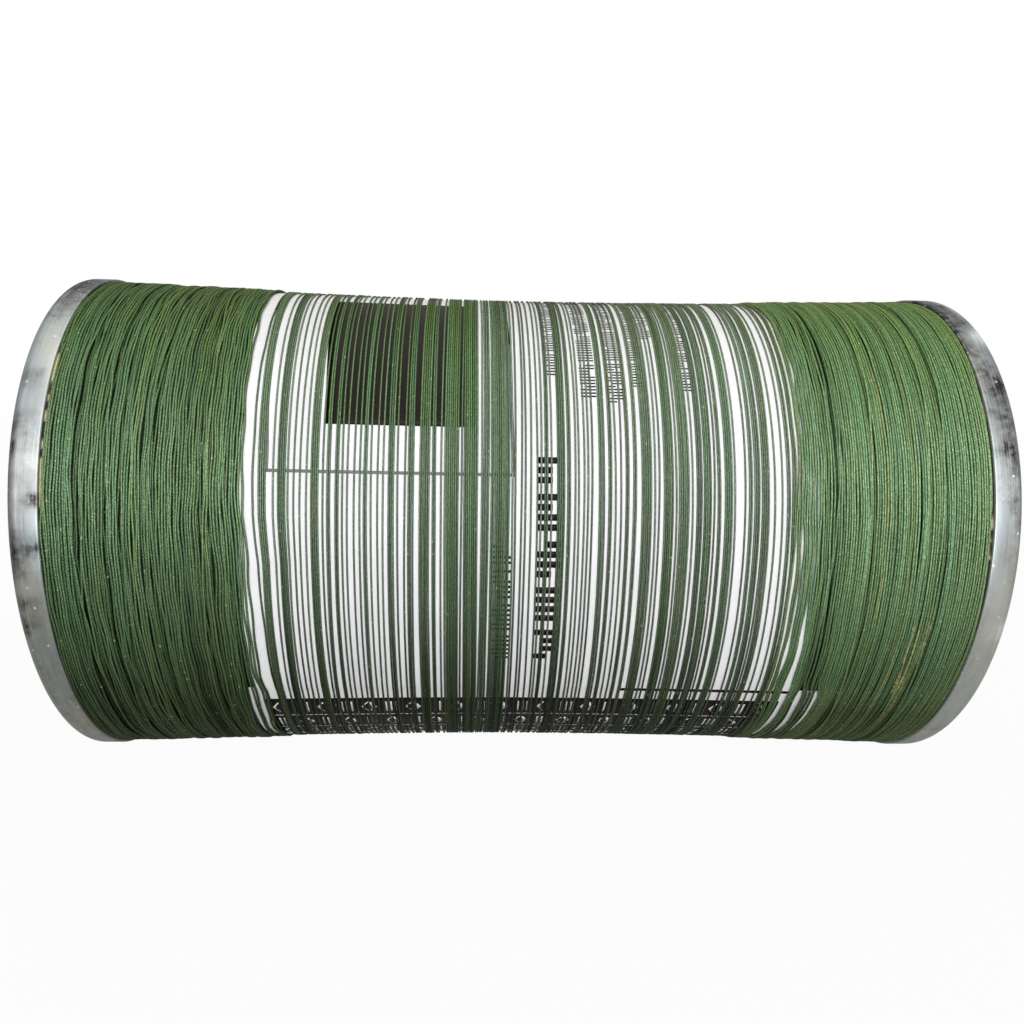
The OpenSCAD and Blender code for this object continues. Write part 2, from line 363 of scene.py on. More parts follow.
def makeAluminium():
    # spun aluminium sheet: turning lines run round the rim, with faint handling stains, painted
    # reflections laid on the rims, dark and bright, and small dings
    values = dict(undarkened="#c9cccb", cool="#adb7bb", stain="#3a3633", warm="#c6beb2", bright="#f6f8f8")
    material, add, finish, place = startMaterial("spunAluminium", Metallic=1.0, Anisotropic=0.5)
    uv = add("UVMap", uv_map="map")
    # turning lines 0.25 mm apart and bands 2 mm wide, both long round the rim
    lines = add("Mapping", {0: uv, 3: (0.06, 4.0, 1.0)})
    lines = add("TexNoise", {"Vector": lines, "Scale": 1.0, "Detail": 3.0})
    bands = add("Mapping", {0: uv, 3: (0.08, 0.5, 1.0)})
    bands = add("MapRange", {0: add("TexNoise", {"Vector": bands, "Scale": 1.0}), 1: 0.38, 2: 0.66})
    base = add("Mix", {0: bands, 6: values["undarkened"], 7: values["cool"]}, data_type="RGBA")
    warmth = add("TexNoise", {"Vector": place, "Scale": 1 / (11 * mm), "Detail": 1.0})
    warmth = add("MapRange", {0: warmth, 1: 0.5, 2: 0.72, 4: 0.5})
    base = add("Mix", {0: warmth, 6: base, 7: values["warm"]}, data_type="RGBA")
    # painted dark reflections laid out on the mesh, and faint handling stains anywhere, streaked by the
    # turning lines
    laidReflections = add("Attribute", output="Fac", attribute_name="spot")
    faint = add("TexNoise", {"Vector": place, "Scale": 1 / (4 * mm), "Detail": 4.0, "Roughness": 0.6})
    faint = add("MapRange", {0: faint, 1: 0.52, 2: 0.78, 4: 0.4})
    ragged = add("TexNoise", {"Vector": place, "Scale": 1 / (0.9 * mm), "Detail": 3.0})
    ragged = add("Math", {0: ragged, 1: lines}, operation="ADD")
    ragged = add("MapRange", {0: ragged, 1: 0.75, 2: 1.25, 3: 0.55, 4: 1.45})
    stainsAndReflections = add("Math", {0: laidReflections, 1: faint}, operation="ADD")
    mask = add("Math", {0: stainsAndReflections, 1: ragged}, operation="MULTIPLY", use_clamp=True)
    # the stain colour darkens the faint stains and paints the dark reflections
    dark = add("Mix", {0: mask, 6: base, 7: values["stain"]}, data_type="RGBA")
    # painted highlights and a few scratches, laid out on the mesh below zero, and small bright dings
    # anywhere
    highlightsAndScratches = add("MapRange", {0: laidReflections, 2: -1.0})
    highlightsAndScratches = add("Math", {0: highlightsAndScratches, 1: ragged}, operation="MULTIPLY", use_clamp=True)
    dark = add("Mix", {0: highlightsAndScratches, 6: dark, 7: values["bright"]}, data_type="RGBA")
    dings = add("TexVoronoi", {"Vector": place, "Scale": 1 / (1.8 * mm)})
    dings = add("MapRange", {0: dings, 1: 0.06, 2: 0.11, 3: 0.9, 4: 0.0})
    colour = add("Mix", {0: dings, 6: dark, 7: values["bright"]}, data_type="RGBA")
    rough = add("MapRange", {0: lines, 1: 0.3, 2: 0.7, 3: 0.3, 4: 0.46})
    bump = add("Bump", {"Height": lines, "Strength": 0.4, "Distance": 0.03 * mm})
    finish({"Base Color": colour, "Roughness": rough, "Normal": bump})
    return material


def makeBoard(name, light, dark):
    # kraft board: brown fibres in layers, matt, darker where the darkening attribute is laid
    material, add, finish, place = startMaterial(name, Roughness=0.85)
    fibre = add("TexNoise", {"Vector": place, "Scale": 1 / (1.0 * mm), "Detail": 4.0})
    darkening = add("Attribute", output="Fac", attribute_name="darkening")
    darkened = add("Math", {0: fibre, 1: 0.9, 2: darkening}, operation="MULTIPLY_ADD")
    darkened = add("MapRange", {0: darkened, 1: 0.45, 2: 1.15})
    colour = add("Mix", {0: darkened, 6: light, 7: dark}, data_type="RGBA")
    bump = add("Bump", {"Height": fibre, "Strength": 0.4, "Distance": 0.05 * mm})
    finish({"Base Color": colour, "Normal": bump})
    return material


def makeNylon():
    # moulded natural nylon: milky, fine mould texture, faint flow marks
    values = dict(milky="#e9e5d8", grey="#d6d1c1")
    material, add, finish, place = startMaterial(
        "mouldedNylon", Roughness=0.4, Subsurface_Weight=0.15, Subsurface_Scale=0.8 * mm)
    flow = add("TexNoise", {"Vector": place, "Scale": 1 / (9 * mm), "Detail": 3.0})
    colour = add("Mix", {0: flow, 6: values["milky"], 7: values["grey"]}, data_type="RGBA")
    grain = add("TexNoise", {"Vector": place, "Scale": 1 / (0.35 * mm), "Detail": 1.0})
    bump = add("Bump", {"Height": grain, "Strength": 0.2, "Distance": 0.02 * mm})
    finish({"Base Color": colour, "Normal": bump})
    return material


lineMaterial = makeLine()
paper = makePaper()
# the black and grey inks also paint the shadow at the seam
blackInkAndShadow = makeInk("blackInkAndShadow", "#160c08")
greyInkAndShadow = makeInk("greyInkAndShadow", "#858485")
whiteInk = makeInk("whiteInk", "#eceaf0")
aluminium = makeAluminium()
linerBoard = makeBoard("linerBoard", "#e2cba3", "#33231b")
tubeBoard = makeBoard("tubeBoard", "#b3946b", "#8a6c48")
nylon = makeNylon()
print("materials made")


# the label's dark block: x = (left, right) in mm along the spool, a = (top, bottom) as below
block = dict(x=(-23.9, -5.9), a=(-60.5, -15.9))
# the sheet lies askew: above start, print shifts to the left by perDegree mm for each degree at the
# sheet's left end, and less and less towards a place right of the middle
askew = dict(start=-10.0, perDegree=0.03, none=20.0, over=50.0)


def printShift(x, below):
    # mm along the spool
    return (-askew["perDegree"] * np.clip(askew["start"] - below, 0, None)
            * np.clip((askew["none"] - x) / askew["over"], 0, 1))


def paperRaised(angle):
    # 1 where the sheet's outer end lies over its start, which is just above the seam, else 0
    turned = np.degrees(angle) % 360
    start = label["seam"] - label["overlap"]
    climb = label["climb"]
    return np.where(turned <= label["seam"], np.clip((turned - start + climb) / climb, 0, 1), 0.0)


def inWindow(x, edge=1.0):
    # 1 where the label is seen between the strands, 0 where layers of line cover it
    return within(x / mm, label["windowLeft"], label["windowRight"], edge)


def paperTop(x, angle):
    # radius of the paper's outer face: one line's thickness below the line's surface
    thin = (winding["lineWidth"] + label["play"] + label["paper"] * (1 - paperRaised(angle))) * mm
    return waist(x) - thin


strands = dict(
    sides=6,
    steps=180,  # rings in one turn
    pieces=8,
    pitch=0.325,  # mm from strand to strand where they lie side by side, left of the label
    pitchRight=0.305,
    turnStart=250.0,  # degrees from the top, at the back: where a turn begins
    hop=115.0,  # degrees at the end of a turn in which it moves over to the next one's place
    turnLength=211.0,  # mm, by which the twist goes on from piece to piece
    # how strands stray from their places: waves in a turn, then mm for whole groups beside and
    # over the label, then mm for single strands likewise, then their share in how it rises
    stray=[(0.9, 0.05, 0.06, 0, 0, 0), (2.3, 0.05, 0.03, 0.01, 0.006, 0.35),
           (5.1, 0.05, 0.015, 0.015, 0.006, 0.35), (9.7, 0.045, 0.006, 0.03, 0.003, 0.35),
           (16.3, 0.05, 0, 0.035, 0, 0), (27, 0.035, 0, 0.03, 0, 0)],
    calm=0.65,  # how much less they stray at the right end
    calmFrom=(33, 40),  # mm along the spool: from where, and where fully
    lift=(0.06, 0.02),  # mm: how much strands rise and sink beside and over the label
    liftShares=(0.5, 0.7),  # how much of that is a strand's own and its group's
    highest=0.1,  # mm that a strand may rise
    warmth=(0.17, 0.06),  # how much strands and groups differ in warmth
    pale=(1.12, 0.14, 0.2),  # painted paleness from the paper behind, less for each strand in a band, and the least
    riders=0.08,  # share of the strands that cross over their neighbours
    riderReach=0.7,  # mm
    riderRise=0.08,  # mm
    riderPace=2.7,  # waves in a turn
    lean=(0.1, 0.35),  # mm that the last strands lean over the liner's edge, left and right
    besideWindow=(0.05, 0.15),  # mm from what the line leaves uncovered to the strands beside it
    underGap=(0.1, 0.2),  # mm from the layers below to the liners, and to the sheet's wide start
    marginOver=(0.5, 0.1),  # mm by which the right margin's strands pass the sheet's end and start
    underSpacing=1.02,  # share of the pitch, in the layers below
    # painted shade: the layers below are coloured darker, as the shade they lie in
    underPaintedShade=0.75,
    seed=11,
)

# the strands beside the label, which lie in groups
shoulders = dict(
    groupSize=(2, 8),  # the least, and one over the most
    spread=(0.94, 1.06),  # share of the pitch
    gaps=[-0.08, 0.02, 0.08, 0.14],  # mm between groups
    gapShares=[0.3, 0.4, 0.2, 0.1],
    gapRight=0.4,  # share of those gaps right of the label
    # how much further the last ones lean over the liner's edge, as (below, mm)
    overLiner=dict(
        left=[(-180, 0), (-52, 0), (-46, 0.3), (-34, 0.3), (-31, 0), (2, 0), (8, 0.3),
              (110, 0.3), (180, 0)],
        right=[(-180, 0), (-30, 0), (-27, -0.14), (0, -0.14), (2, -0.25), (16, -0.22),
               (30, -0.12), (110, -0.12), (170, 0)]),
    # how those at the label's left edge lean to the right, as (below, mm), and how far from it
    edgeLean=[(-180, 0), (-100, -0.5), (-60, -0.5), (-15, 0), (4, 0.1), (14, 0.6), (60, 0.6),
              (100, 0)],
    edgeReach=8,  # mm
    # where they part: place, how far the left and the right side move, in mm, and how far the gap
    # has opened, as (below, share)
    wedges=[(34.45, 0.35, 0.6, [(18, 0), (46, 1), (60, 1), (100, 0)]),
            (36.5, 0.3, 0.7, [(43, 0), (47.5, 1), (60, 1), (100, 0)]),
            (38.2, 0.2, 0.5, [(43, 0), (47.5, 1), (60, 1), (100, 0)]),
            (-34.4, 0.2, 0.25, [(42, 0), (47.5, 1), (70, 1), (100, 0)]),
            (-35.1, 0.2, 0.25, [(42, 0), (47.5, 1), (70, 1), (100, 0)])],
    wedgeReach=(2.5, 4),  # mm to the left and to the right
)

# the strands over the label, which lie in bands
bands = dict(
    # broad ones, as (from, to) in mm along the spool
    broad=[(-29.5, -28.4), (-16.6, -15.6), (-14.3, -13.4), (-12.9, -11.5), (-9.9, -8.1), (-7.6, -5.7),
           (-5.3, -4.5), (-4.4, -1.9), (8.5, 9.5), (13.6, 14.6), (16.3, 17.6), (18.1, 19.4),
           (21.2, 22.2), (23.7, 24.9), (27.3, 28.1), (28.5, 29.3), (31.9, 33.3)],
    broadSpread=(0.97, 1.16),  # from strand to strand, as a share of a strand
    spread=(0.98, 1.06),
    sizes=[1, 2, 3, 4],  # strands in the bands between the broad ones
    sizeShares=[0.64, 0.23, 0.08, 0.05],
    # wide gaps, as (mm along the spool, mm wide)
    wideGaps=[(-32.7, 1.19), (-30.3, 0.75), (-26.8, 0.55), (-22.9, 0.6), (-20.6, 0.6), (-15.2, 0.5),
              (-10.4, 0.5), (12.6, 0.5), (20.9, 0.6), (25.3, 1.0), (30.5, 0.7)],
    wideReach=0.25,  # mm before a wide gap in which a band that ends is followed by it
    gap=(0.16, 0.49),  # mm, least and most, of all other gaps
    afterBroad=0.1,  # mm less after a broad band
    beforeBroad=(0.2, 0.15),  # mm before a broad band in which no band, and no strand, begins
    first=1.35,  # mm from the window's left edge to the first strand
)

look = dict(
    # streaks of dust on single strands: mm along the spool, from, to as below, mm wide, strength
    dust=[(43.4, -34, 27, 0.3, 0.5), (48.8, 25, 46, 1, 1), (50.3, 21, 38, 0.9, 0.7),
          (52.8, 48, 54, 0.5, 0.8), (49.6, 38, 60, 0.5, 0.5), (46.9, 30, 52, 0.4, 0.4)],
    dustFade=3,  # degrees
    # painted light along the spool: the line is lighter towards the right end, as (mm, share)
    paintedLightAlong=[(-56, 1.02), (-33, 1.08), (20, 1.08), (33, 1.2), (42, 1.49), (56, 1.49)],
    # painted shade: how much darker the line is towards the top and the bottom, as (below, share left
    # of the label, share right of it)
    paintedShading=[(-180, 0, 0), (-120, 0.2, 0.2), (-66, 0.7, 0.4), (-50, 0.45, 0.38), (-35, 0.25, 0.22),
             (-10, 0.02, 0.05), (3, 0, 0.22), (10, 0.14, 0.23), (16, 0.2, 0.1), (22, 0.22, 0),
             (27, 0.26, 0.08), (33, 0.42, 0.18), (39.5, 0.66, 0.42), (46, 0.92, 0.47),
             (54, 1.1, 0.93), (110, 1.1, 0.93), (160, 0, 0)],
    shadingBlend=60,  # mm along the spool from one share to the other
    shadingDepth=0.5,
    uneven=(0.17, 0.43),  # how much strands differ, and how much more where the painted shade lies
    # painted light by angle: how much warmer it looks, how much deeper in colour towards the top, and
    # how much lighter or darker over the label, as (below, share)
    paintedWarmth=[(-180, 0), (-110, 0.4), (-66, 0.4), (-45, 0.2), (-30, 0.05), (0, 0), (38, 0),
          (54, 0.25), (110, 0.25), (160, 0)],
    paintedDeeper=[(-180, 0), (-110, 0.7), (-66, 0.7), (-45, 0.48), (-28, 0.22), (-14, 0), (180, 0)],
    paintedLightOverLabel=[(-180, 0.9), (-62, 1.12), (-30, 1.12), (-14, 0.88), (5, 0.8), (25, 0.79), (40, 0.74),
               (60, 0.76), (180, 0.9)],
    paperLessens=0.5,  # how much less deep the painted colour is over white paper
)

random = np.random.default_rng(strands["seed"])


def shoulderPlaces(start, stop, reach=0.0):
    # groups of strands side by side, with narrow gaps between the groups, then stretched so that the
    # first strand lies at start - reach and the last at stop; gives (place, group)
    places = []
    x, group = start, 0
    while x < stop:
        for _ in range(random.integers(*shoulders["groupSize"])):
            if x < stop:
                places.append((x, group))
            x += strands["pitch" if x < 0 else "pitchRight"] * random.uniform(*shoulders["spread"])
        gap = random.choice(shoulders["gaps"], p=shoulders["gapShares"])
        x += gap * (1 if x < 0 else shoulders["gapRight"])
        group += 1
    stretch = (stop - start + reach) / (places[-1][0] - start)
    return [(start - reach + (x - start) * stretch, group) for x, group in places]


def labelPlaces():
    # broad bands, and between them bands of one to four strands, parted by gaps of paper
    places = []
    line = winding["pressed"]
    x, group = label["windowLeft"] + bands["first"], 0
    noBand, noStrand = bands["beforeBroad"]
    for start, stop in bands["broad"]:
        while x < start - noBand:
            for _ in range(random.choice(bands["sizes"], p=bands["sizeShares"])):
                if x < start - noStrand:
                    places.append((x, group))
                x += line * random.uniform(*bands["spread"])
            wide = [width for place, width in bands["wideGaps"]
                    if place - width / 2 - bands["wideReach"] < x < place + width / 2]
            x += wide[0] if wide else random.uniform(*bands["gap"])
            group += 1
        x = start + line / 2
        while x < stop - line / 3:
            places.append((x, group))
            x += line * random.uniform(*bands["broadSpread"])
        x += random.uniform(*bands["gap"]) - bands["afterBroad"]
        group += 1
    return places


def strandMarks(groups):
    # what tells one turn of the line from the next, for single strands and for whole groups
    groups = np.asarray(groups)
    count, many, waves = len(groups), groups.max() + 1, len(strands["stray"])
    own, shared = strands["liftShares"]
    ownWarmth, sharedWarmth = strands["warmth"]
    most, less, least = strands["pale"]
    return dict(
        lift=own * random.uniform(-1, 1, count) + shared * random.uniform(-1, 1, many)[groups],
        shade=random.uniform(-1, 1, count),
        pale=np.clip(most - less * np.bincount(groups)[groups], least, 1.0),
        warmth=np.clip(random.normal(0, ownWarmth, count)
                       + random.normal(0, sharedWarmth, many)[groups], -1, 1),
        rider=np.where(random.uniform(0, 1, count) < strands["riders"], 1.0, 0.0),
        phases=random.uniform(0, 1, (count, waves)),
        groupPhases=random.uniform(0, 1, (many, waves))[groups],
    )


def leanOf(place, below):
    # mm to the right, for strands near the edges of the label: each lean or move falls with the
    # distance from its place
    near = np.clip(1 - np.abs(place - label["windowLeft"]) / shoulders["edgeReach"], 0, 1)
    total = readTable(shoulders["edgeLean"], below) * near
    reachLeft, reachRight = shoulders["wedgeReach"]
    for middle, left, right, opened in shoulders["wedges"]:
        beyond = place - middle
        apart = np.where(beyond < 0, -left * np.clip(1 + beyond / reachLeft, 0, 1),
                         right * np.clip(1 - beyond / reachRight, 0, 1))
        total = total + apart * readTable(opened, below)
    return total


def strandLook(x, below, free, own, dim):
    # what the material reads at each ring: own holds the marks of its turn, free is the share by
    # which it lies beside the label, and dim is the painted shade of the layers below
    place = x / mm
    dust = np.zeros_like(x)
    for spot, start, stop, width, strength in look["dust"]:
        streak = strength * within(below, start, stop, look["dustFade"])
        dust = np.maximum(dust, streak * (np.abs(place - spot) < width / 2))
    # painted shade towards the top and the bottom, passing from the left's shares to the right's
    degrees, leftShading, rightShading = zip(*look["paintedShading"])
    rightShare = np.clip(x / (look["shadingBlend"] * mm) + 0.5, 0, 1)
    shaded = (np.interp(below, degrees, leftShading) * (1 - rightShare)
              + np.interp(below, degrees, rightShading) * rightShare)
    undarkened, more = look["uneven"]
    uneven = (undarkened + more * shaded) * own["shade"]
    (left, right), (top, bottom) = block["x"], block["a"]
    printed = place - printShift(place, below)
    white = 1 - (printed > left) * (printed < right) * (below > top) * (below < bottom)
    # painted light and shade over the label, by angle
    over = readTable(look["paintedLightOverLabel"], below) * (1 - free) + free
    return {
        # the shade: painted light along the spool, painted shade on the layers below and by angle, and
        # random differences between strands
        "shade": (dim * readTable(look["paintedLightAlong"], place) * (1 - look["shadingDepth"] * shaded)
                  * (1 + uneven) * over),
        # each strand's own warmth, plus the painted warmth by angle
        "warmth": own["warmth"] + readTable(look["paintedWarmth"], below),
        # painted paleness from the white paper behind, less the painted deeper colour by angle
        "pale": (own["pale"] * (1 - free) * white
                 - readTable(look["paintedDeeper"], below) * (1 - look["paperLessens"] * (1 - free) * white)),
        "stain": dust * (dim == 1.0),
    }


def woundTube(name, places, marks, radiusOf, firstTurn=0, dim=1.0):
    # one unbroken tube: turn k lies at places[k] and moves to places[k + 1] within the hop, while
    # its middle keeps radiusOf(x, angle); a ring of points stands square to the path at each step
    steps, sides = strands["steps"], strands["sides"]
    turns = len(places) - 1
    s = np.arange(turns * steps + 1) / steps
    turn = np.minimum(s.astype(int), turns - 1)
    part = s - turn  # share of the turn that is done
    angle = np.radians(strands["turnStart"]) + 2 * np.pi * s
    below = belowFacing(angle)
    share = np.clip((360 * (part - 1) + strands["hop"]) / strands["hop"], 0, 1)
    share = share * share * (3 - 2 * share)

    def blend(values):
        return values[turn] * (1 - share) + values[turn + 1] * share

    def swing(phases, pace):
        # each turn swings by its own phase; in the hop that fades into the next turn's
        here = np.sin(2 * np.pi * (pace * part + phases[turn]))
        there = np.sin(2 * np.pi * (pace * (part - 1) + phases[turn + 1]))
        return here * (1 - share) + there * share

    place = blend(places)
    free = 1 - inWindow(place * mm, 2.0)
    calm = np.interp(place, strands["calmFrom"], (1, 1 - strands["calm"])) * free + 1 - free
    stray, rise = 0, blend(marks["lift"])
    for i, (pace, groupBeside, groupOver, beside, over, rises) in enumerate(strands["stray"]):
        wave = swing(marks["groupPhases"][:, i], pace)
        own = swing(marks["phases"][:, i], pace)
        stray = stray + (groupBeside * calm * free + groupOver * (1 - free)) * wave
        stray = stray + (beside * calm * free + over * (1 - free)) * own
        rise = rise + rises * (wave + own)
    rider = blend(marks["rider"]) * free
    x = place + stray + leanOf(place, below)
    x = x + rider * strands["riderReach"] * swing(marks["phases"][:, 0], strands["riderPace"])
    # the last strands lie against the flanges' liners or lean over their edges
    end = windingEnd / mm - 0.5 * winding["lineWidth"] + np.where(x < 0, *strands["lean"])
    end = end + np.where(x < 0, *(readTable(side, below) for side in shoulders["overLiner"].values()))
    x = np.clip(x, -end, end) * mm
    beside, over = strands["lift"]
    rise = (beside * free + over * (1 - free)) * rise + strands["riderRise"] * rider
    radius = radiusOf(x, angle) + np.minimum(rise, strands["highest"]) * mm
    middle = aboutAxis(x, angle, radius)
    ahead = np.gradient(middle, axis=0)
    ahead /= np.linalg.norm(ahead, axis=1)[:, None]
    out = aboutAxis(0.0, angle, 1.0)
    across = np.cross(ahead, out)
    across /= np.linalg.norm(across, axis=1)[:, None]
    around = (np.arange(sides) * 2 * np.pi / sides)[None, :, None]
    half = (winding["lineWidth"] * free + winding["pressed"] * (1 - free)) / 2 * mm
    spokes = np.cos(around) * across[:, None, :] + np.sin(around) * out[:, None, :]
    points = middle[:, None, :] + half[:, None, None] * spokes
    length = lengthAlong(middle) + strands["turnLength"] * firstTurn
    uv = gridMap(length[:, None], np.arange(sides + 1)[None, :] / sides)
    faces, ends, uvFaces = tubeFaces(len(s), sides)
    own = {key: blend(marks[key]) for key in ("shade", "warmth", "pale")}
    values = {key: np.repeat(numbers, sides)
              for key, numbers in strandLook(x, below, free, own, dim).items()}
    piece = meshPiece(name, points, [faces, ends], [uv[uvFaces], np.zeros((2, sides, 2))], values)
    return dress(piece, lineMaterial)


def upperRadius(x, angle):
    # the outer layer lies on the paper, and beside the label at the line's surface
    shown = inWindow(x)
    return ((paperTop(x, angle) + winding["pressed"] / 2 * mm) * shown
            + (waist(x) - winding["lineWidth"] / 2 * mm) * (1 - shown))


def lowerRadius(x, angle):
    # one layer below the line's surface
    return waist(x) - (winding["lineWidth"] / 2 + winding["layerStep"]) * mm


def marginRadius(x, angle):
    # under the sheet's wide start
    return waist(x) - (1.5 * winding["lineWidth"] + 2 * label["paper"] + winding["marginPlay"]) * mm


def buildLine():
    left, right = (windingEnd / mm - 0.5 * winding["lineWidth"] + lean for lean in strands["lean"])
    reach = max(lean for _, lean in shoulders["overLiner"]["left"])
    besideLeft, besideRight = strands["besideWindow"]
    runs = [shoulderPlaces(-left, label["windowLeft"] - besideLeft, reach), labelPlaces(),
            shoulderPlaces(label["windowRight"] + besideRight, right + strands["pitchRight"])]
    places, groups = [], []
    for run in runs:
        first = groups[-1] + 1 if groups else 0
        places += [x for x, _ in run]
        groups += [first + group for _, group in run]
    places = np.array(places)
    marks = strandMarks(groups)
    cuts = np.linspace(0, len(places) - 1, strands["pieces"] + 1).astype(int)
    for i, first in enumerate(cuts[:-1]):
        turns = slice(first, cuts[i + 1] + 1)
        own = {key: numbers[turns] for key, numbers in marks.items()}
        made = woundTube(f"outerStrands{i + 1}", places[turns], own, upperRadius, first)
        if i == 0:
            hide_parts("outer_turns")
    # the layer below it, beside the sheet's wide start and under that start's margins, with painted
    # shade
    toLiner, toSheet = strands["underGap"]
    edge = windingEnd / mm - toLiner
    first, last = label["startLeft"], label["startRight"]
    pastEnd, pastStart = strands["marginOver"]
    layers = [("underStrandsLeft", -edge, first - toSheet, lowerRadius),
              ("underStrandsRight", last + toSheet, edge, lowerRadius),
              ("marginStrandsLeft", first, label["windowLeft"], marginRadius),
              ("marginStrandsRight", label["endRight"] - pastEnd, last + pastStart, marginRadius)]
    for name, start, stop, radiusOf in layers:
        under = np.arange(start, stop, strands["pitch"] * strands["underSpacing"])
        woundTube(name, under, strandMarks(range(len(under))), radiusOf, dim=strands["underPaintedShade"])
    print("strands wound:", len(places) - 1, "outer turns")


def buildCore():
    # what lies under the strands: a solid of line from the barrel out to the lower layer, painted dark
    # as the shade there
    low = tubeRadius + winding["tubePlay"] * mm
    x = np.linspace(-windingEnd, windingEnd, 81)
    drop = (1.5 * winding["lineWidth"] + 2 * label["paper"] + winding["corePlay"]) * mm
    outline = [*zip(x, waist(x) - drop), (windingEnd, low), (-windingEnd, low)]
    piece = lathe("windingCore", outline, {"shade": lambda x, angle, radius: winding["corePaintedShade"]})
    dress(piece, lineMaterial, ["line_package"], sharp=40)


buildLine()
buildCore()


# printed places, given like the block's
ruled = dict(x=(-30.9, -1.55), a=(-78, -5), width=0.42, blackTo=-40)
# painted shadow of the sheet's cut end at the seam, printed on its start
seamShadow = dict(light=(-33.9, 13, 0.1), dark=(13, 35.2, 0.7))  # from, to and width in mm
# rows of plain bars: left, right in mm, top, bottom as below, then mm for a bar and a gap, bars in
# a group, and mm after a group
barRows = [(1.2, 4.25, -11, 37, 0.85, 0.42, 4, 1.3), (-4.4, -1.8, 9.5, 37, 0.34, 0.34, 6, 0.8),
           (2.6, 4.7, -78, -30, 0.24, 0.28, 8, 0.7), (6.7, 8.6, -78, -24, 0.24, 0.28, 11, 0.7),
           (10, 11.8, -78, -22.7, 0.22, 0.26, 14, 0.7),
           (12.9, 14.5, -78, -27, 0.22, 0.26, 9, 0.6),
           (14.8, 16.4, -78, -43, 0.22, 0.26, 12, 0.6),
           (18.9, 20.5, -78, -26, 0.22, 0.26, 7, 0.6)]
barParts = [(0, 1), (0.3, 1), (0, 0.6)]  # whole or cut short at one end, from and to as shares
barShares = [0.6, 0.2, 0.2]
ornament = dict(
    x=(-33.2, 34.6),
    top=51.0,
    row=8.2,  # degrees
    rows=3,
    part=(0.14, 0.84),  # of a row, in which its figures stand
    cell=2.9,  # mm
    margin=0.35,  # mm before the first cell
    lozenge=0.36,  # half its width, as a share of the cell
    barStep=0.22,  # between bars, as a share of the cell
    thin=0.12,  # mm: half a bar, and half the line through a lozenge
    inset=(0.4, 0.5),  # degrees by which lozenges and bars are shorter at each end
    rule=(0.3, 0.4),  # degrees wide, and mm free at each end
)
ink = dict(lift=0.012, thick=0.01, step=1.5)  # mm above the paper, mm, and mm or degrees to a cell


def onPaper(x, below, layers):
    # points in x (mm) and degrees below, as high over the paper as so many layers of ink
    angles = np.radians(facing + below)
    return aboutAxis(x * mm, angles, paperTop(x * mm, angles) + layers * ink["lift"] * mm).reshape(-1, 3)


def sheetPatch(x0, x1, top, bottom, layers=1):
    # grid that follows the paper over a stretch of the spool and from top to bottom
    x = np.linspace(x0, x1, max(2, int(abs(x1 - x0) / ink["step"]) + 2))[:, None]
    below = np.linspace(top, bottom, max(2, int(abs(bottom - top) / ink["step"]) + 2))[None, :]
    faces, _ = gridFaces(len(x), below.size, False, False)
    return onPaper(x + printShift(x, below), below, layers), faces


def flatPatch(corners, layers):
    # one flat polygon on the paper; corners are (mm along, below)
    return onPaper(*np.array(corners).T, layers), np.arange(len(corners))[None, :]


def sheetPiece(name, patches, material):
    # joins patches into one mesh and gives them a thickness inwards
    faces, count = {}, 0
    for points, patchFaces in patches:
        faces.setdefault(patchFaces.shape[1], []).append(patchFaces + count)
        count += len(points)
    groups = [np.concatenate(group) for group in faces.values()]
    piece = meshPiece(name, np.concatenate([points for points, _ in patches]), groups)
    solid = piece.modifiers.new("thickness", "SOLIDIFY")
    solid.thickness = ink["thick"] * mm
    solid.offset = -1
    return dress(piece, material)


def buildLabel():
    # one sheet that starts under its own outer end, goes once round and ends at the seam; its
    # start is wider, and its width falls to that of the end as it narrows
    turned = np.linspace(label["seamGap"], 360, 400)
    angles = np.radians(label["seam"] + turned)[None, :]
    wideTo, over = label["narrows"]
    narrow = np.clip((turned - wideTo) / over, 0, 1)[None, :]
    left = label["startLeft"] * (1 - narrow) + label["endLeft"] * narrow
    right = label["startRight"] * (1 - narrow) + label["endRight"] * narrow
    share = np.linspace(0, 1, 60)[:, None]
    x = (left + (right - left) * share) * mm
    radius = paperTop(x, angles)
    rows = np.concatenate([aboutAxis(x, angles, radius),
                           aboutAxis(x, angles, radius - label["paper"] * mm)[::-1]])
    faces, _ = gridFaces(*rows.shape[:2], True, False)
    # the two ends of the sheet are closed by strips between its faces
    wide, last = rows.shape[1], len(rows) - 1
    i = np.arange(len(share) - 1)
    caps = np.stack([i, last - i, last - i - 1, i + 1], axis=1) * wide
    faces = np.concatenate([faces, caps, caps[:, [0, 3, 2, 1]] + wide - 1])
    piece = meshPiece("labelSheet", rows, [faces])
    dress(piece, paper, ["label"], sharp=50)


def barPatches(left, right, top, bottom, bar, gap, group, space):
    # a row of plain bars in groups, running up the label
    patches = []
    perMm = 180 / math.pi / (rimRadius / mm)
    low, high = bottom, bottom - bar * perMm
    while high > top:
        start, stop = barParts[random.choice(len(barParts), p=barShares)]
        wide = right - left
        patches.append(sheetPatch(left + start * wide, left + stop * wide, high, low))
        low = high - (space if len(patches) % group == 0 else gap) * perMm
        high = low - bar * perMm
    return patches


